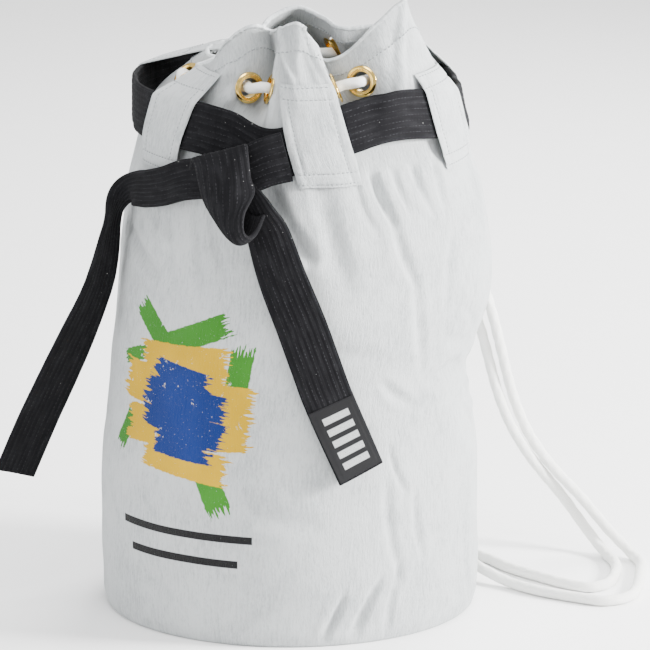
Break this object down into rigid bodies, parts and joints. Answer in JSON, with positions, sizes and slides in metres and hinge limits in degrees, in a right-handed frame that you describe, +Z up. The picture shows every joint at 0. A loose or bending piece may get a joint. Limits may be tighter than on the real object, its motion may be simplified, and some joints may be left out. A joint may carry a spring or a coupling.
{
  "type": "drawstring duffel bag with belt",
  "caption": "White canvas drawstring duffel bag with brass eyelets, a rope drawcord and rope shoulder straps, and a tied black martial-arts belt round its neck.",
  "frame": {"origin": "middle of the base's underside, on the surface the bag stands on", "axes": "+Z up through the mouth; the printed front faces -Y; the belt is tied 17 degrees from the front towards +X, and the rope straps lie behind"},
  "size_m": [0.3856, 0.4417, 0.5075],
  "materials": {
    "canvas": "matte woven cotton, slightly napped",
    "tape": "matte cotton tape",
    "belt": "matte black cotton with lengthwise stitch rows",
    "label": "woven satin label with plain grey bars",
    "rope": "soft braided cotton rope",
    "brass": "polished, rolled brass"
  },
  "bodies": {
    "bag": {"bag_wall": "canvas", "bag_base": "canvas", "mouth_hem": "canvas", "base_tab_left": "canvas", "base_tab_right": "canvas", "belt_loop_1": "canvas", "belt_loop_2": "canvas", "belt_loop_3": "canvas", "belt_loop_4": "canvas", "belt_loop_5": "canvas", "belt_loop_6": "canvas", "base_binding": "tape", "belt_wrap": "belt", "belt_knot": "belt", "belt_lead_left": "belt", "drawcord": "rope", "strap_rope_left": "rope", "strap_rope_right": "rope", "stopper_knot_left": "rope", "stopper_knot_right": "rope", "eyelet_01": "brass", "eyelet_02": "brass", "eyelet_03": "brass", "eyelet_04": "brass", "eyelet_05": "brass", "eyelet_06": "brass", "eyelet_07": "brass", "eyelet_08": "brass", "eyelet_09": "brass", "eyelet_10": "brass", "eyelet_11": "brass", "eyelet_12": "brass", "eyelet_washer_01": "brass", "eyelet_washer_02": "brass", "eyelet_washer_03": "brass", "eyelet_washer_04": "brass", "eyelet_washer_05": "brass", "eyelet_washer_06": "brass", "eyelet_washer_07": "brass", "eyelet_washer_08": "brass", "eyelet_washer_09": "brass", "eyelet_washer_10": "brass", "eyelet_washer_11": "brass", "eyelet_washer_12": "brass"},
    "tail_left": {"belt_tail_left": "belt"},
    "tail_right": {"belt_tail_right": "belt", "belt_label": "label"}
  },
  "joints": [
    {"name": "left_tail_swing", "type": "hinge", "parent": "bag", "child": "tail_left", "pos_m": [-0.08619, -0.11302, 0.331], "axis": [-0.6157, 0.788, 0], "range_deg": [-3, 75]},
    {"name": "right_tail_lift", "type": "hinge", "parent": "bag", "child": "tail_right", "pos_m": [0.07548, -0.12544, 0.343], "axis": [-0.8949, -0.4462, 0], "range_deg": [0, 75]}
  ]
}
